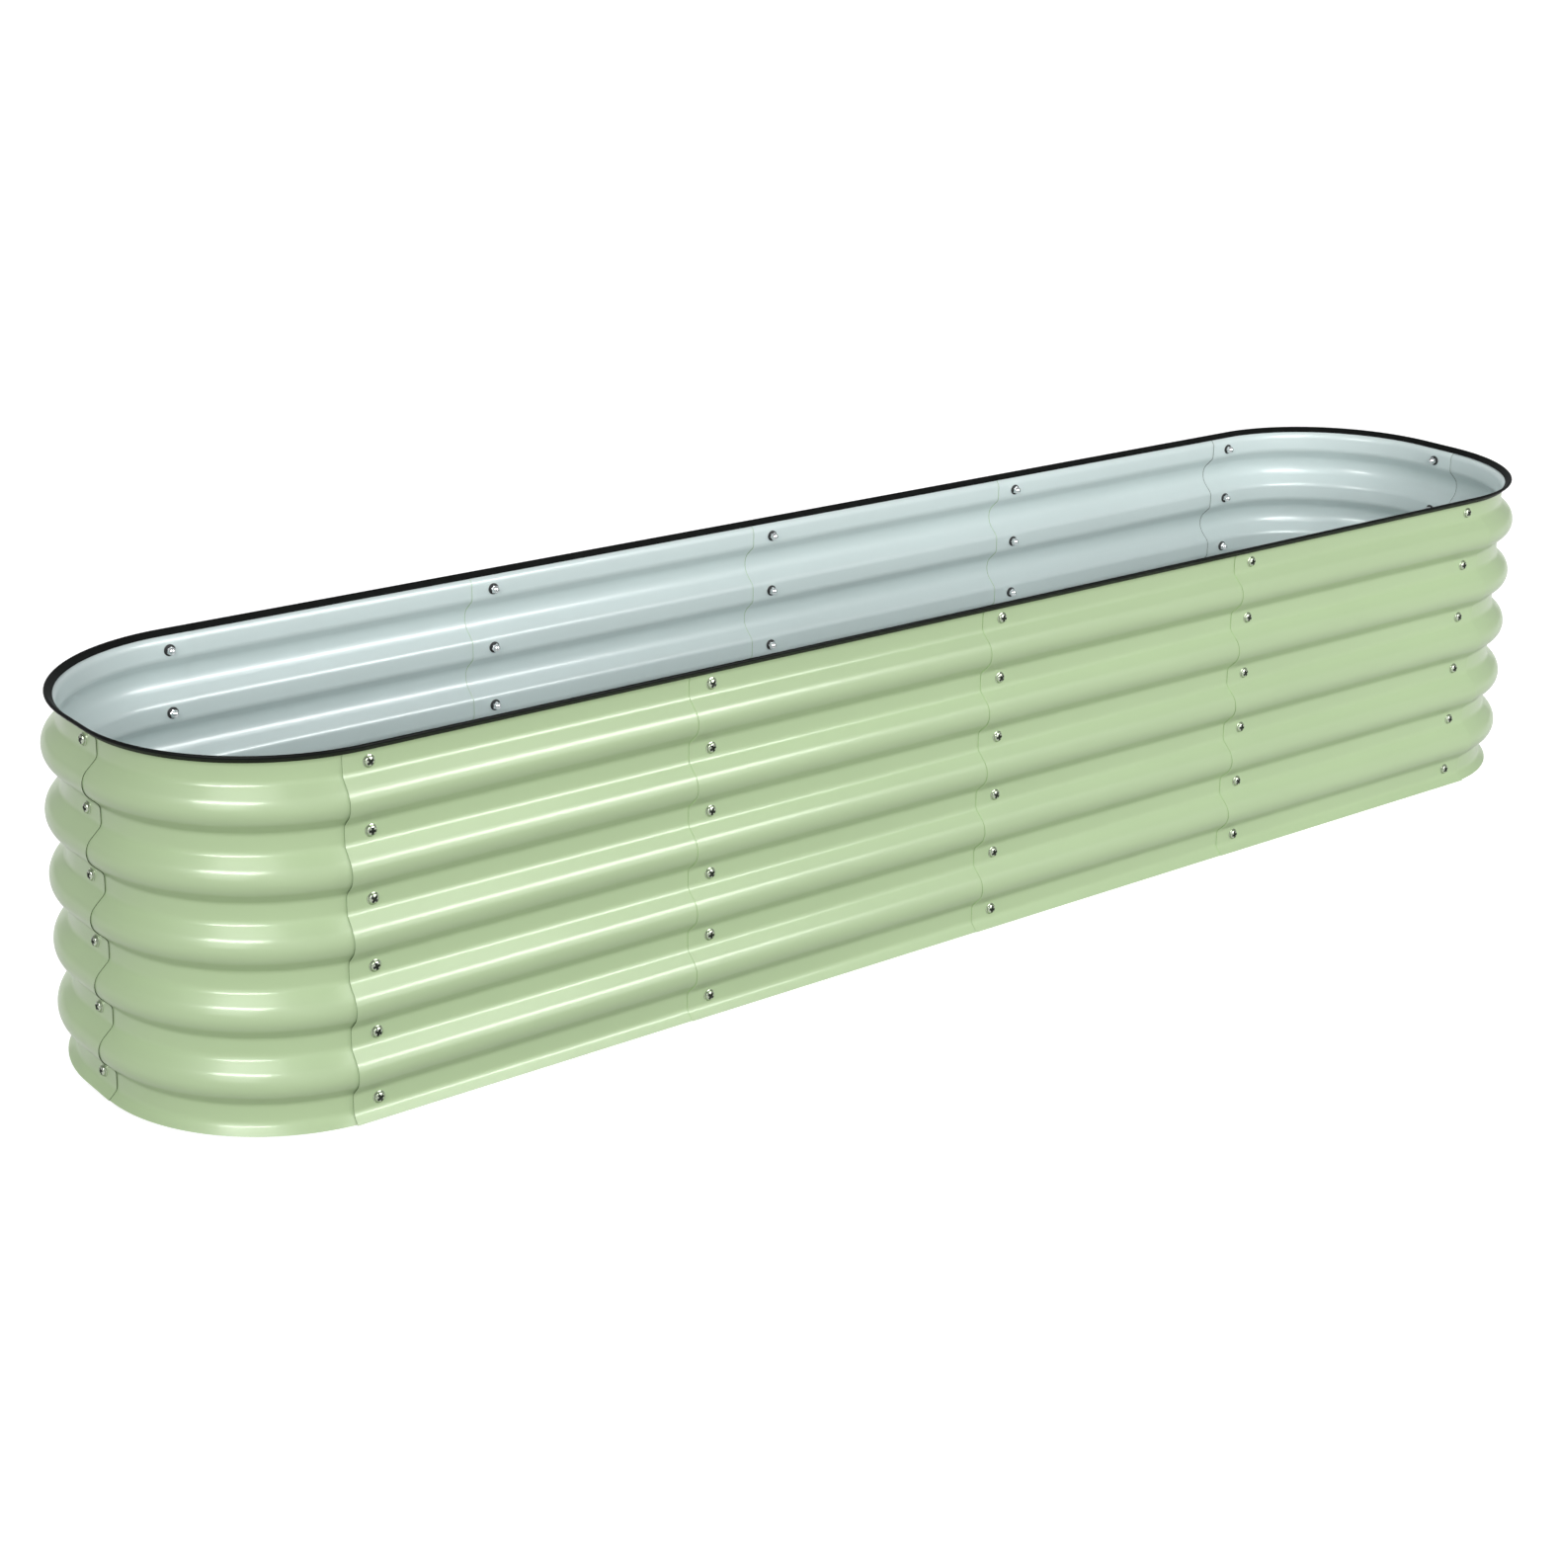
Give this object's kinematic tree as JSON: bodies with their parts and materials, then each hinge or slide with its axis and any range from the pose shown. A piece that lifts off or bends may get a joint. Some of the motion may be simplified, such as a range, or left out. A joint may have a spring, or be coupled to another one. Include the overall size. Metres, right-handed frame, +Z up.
{
  "type": "raised garden bed",
  "caption": "Long raised garden bed of corrugated metal panels with rounded ends, bolted seams, a rubber edge trim and no floor.",
  "frame": {"origin": "middle of the bed on the ground", "axes": "+X along the bed, +Y across it to the back wall, +Z up"},
  "size_m": [2.2422, 0.5042, 0.4332],
  "materials": {
    "green_coating": "glossy baked paint on thin steel sheet, sage green outside",
    "rubber_trim": "smooth black rubber",
    "bolt_steel": "zinc-plated pan heads",
    "nut_steel": "polished domed nuts",
    "brace_steel": "galvanised flat steel"
  },
  "bodies": {
    "root": {"front_panel_1": "green_coating", "front_panel_2": "green_coating", "front_panel_3": "green_coating", "front_panel_4": "green_coating", "back_panel_1": "green_coating", "back_panel_2": "green_coating", "back_panel_3": "green_coating", "back_panel_4": "green_coating", "corner_panel_front_left": "green_coating", "corner_panel_back_left": "green_coating", "corner_panel_back_right": "green_coating", "corner_panel_front_right": "green_coating", "edge_trim": "rubber_trim", "bolts_front_1": "bolt_steel", "bolts_front_2": "bolt_steel", "bolts_front_3": "bolt_steel", "bolts_front_4": "bolt_steel", "bolts_front_5": "bolt_steel", "bolts_back_1": "bolt_steel", "bolts_back_2": "bolt_steel", "bolts_back_3": "bolt_steel", "bolts_back_4": "bolt_steel", "bolts_back_5": "bolt_steel", "bolts_left_end": "bolt_steel", "bolts_right_end": "bolt_steel", "nuts_front_1": "nut_steel", "nuts_front_2": "nut_steel", "nuts_front_3": "nut_steel", "nuts_front_4": "nut_steel", "nuts_front_5": "nut_steel", "nuts_back_1": "nut_steel", "nuts_back_2": "nut_steel", "nuts_back_3": "nut_steel", "nuts_back_4": "nut_steel", "nuts_back_5": "nut_steel", "nuts_left_end": "nut_steel", "nuts_right_end": "nut_steel", "cross_brace_1": "brace_steel", "cross_brace_2": "brace_steel", "cross_brace_3": "brace_steel"}
  },
  "joints": []
}
